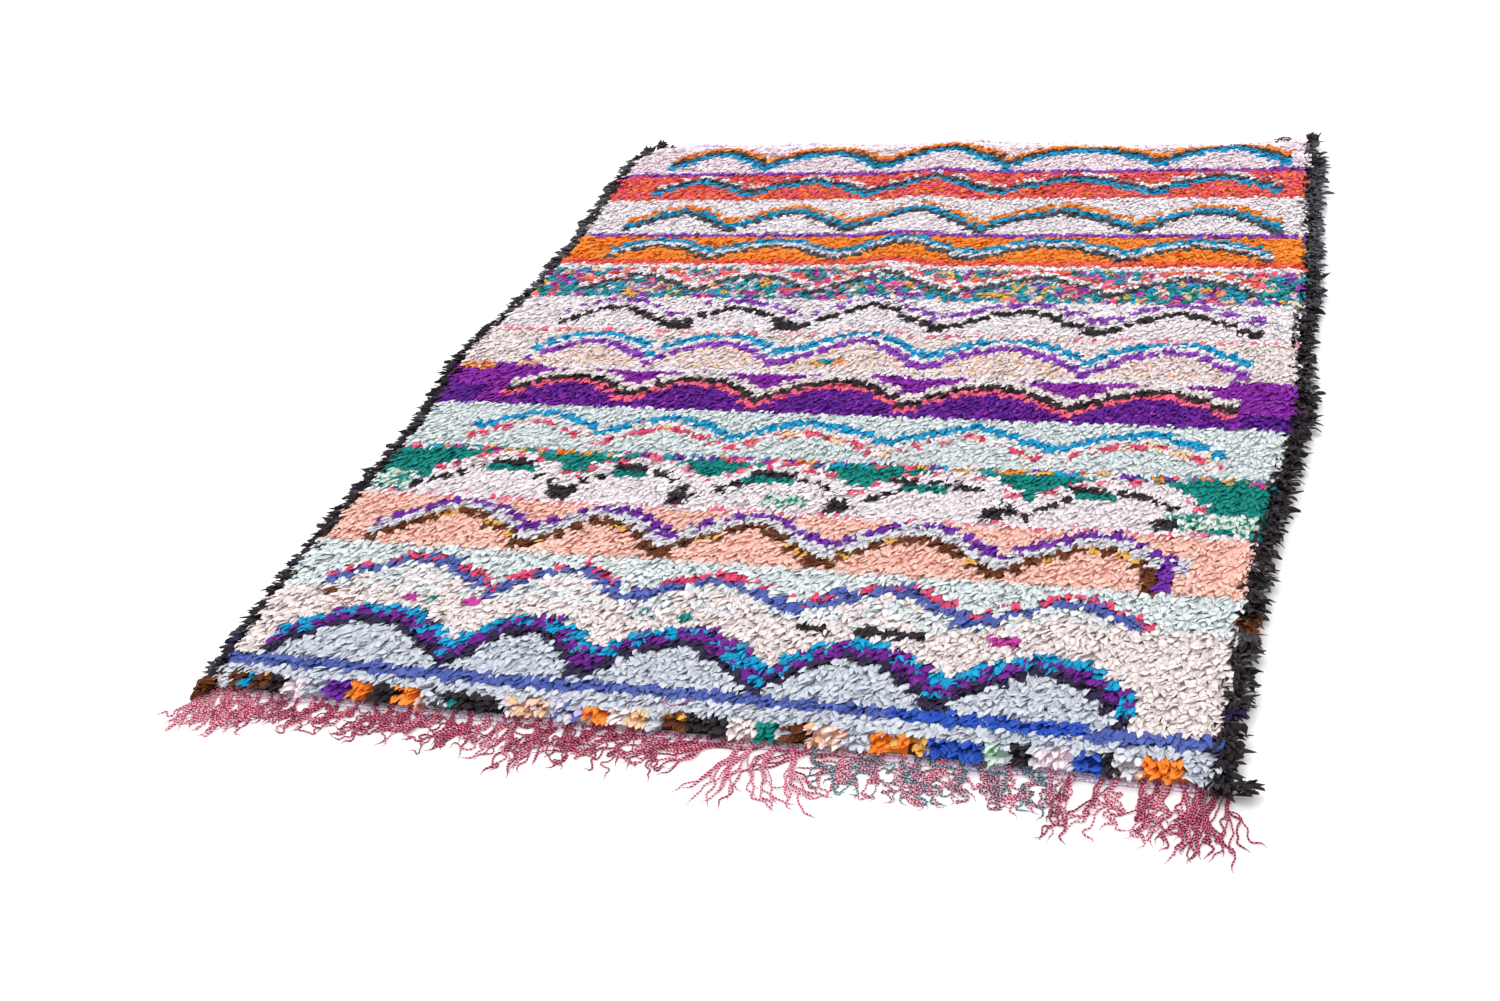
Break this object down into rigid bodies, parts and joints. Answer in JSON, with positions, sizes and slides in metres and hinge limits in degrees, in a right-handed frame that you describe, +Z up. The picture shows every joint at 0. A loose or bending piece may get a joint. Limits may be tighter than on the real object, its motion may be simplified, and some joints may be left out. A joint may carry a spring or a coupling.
{
  "type": "boucherouite rug",
  "caption": "Flat shaggy rag rug of knotted cloth strips with dark side selvedges and a yarn fringe on one end, to lie on a floor.",
  "frame": {"origin": "centre of the pile field's flat underside, on the floor", "axes": "+Z up, +Y along the length from the fringed end to the plain end, +X to the right seen from the fringed end"},
  "size_m": [1.5486, 2.0861, 0.0324],
  "materials": {
    "rag_pile": "matt torn cloth strips of many colours",
    "dark_rags": "matt black rag strips",
    "warp_yarn": "soft plied pink and crimson yarn",
    "dark_twine": "matt dark twined yarn"
  },
  "bodies": {
    "root": {"pile_field": "rag_pile", "selvedge_left": "dark_rags", "selvedge_right": "dark_rags", "fringe": "warp_yarn", "end_cord": "dark_twine"}
  },
  "joints": []
}
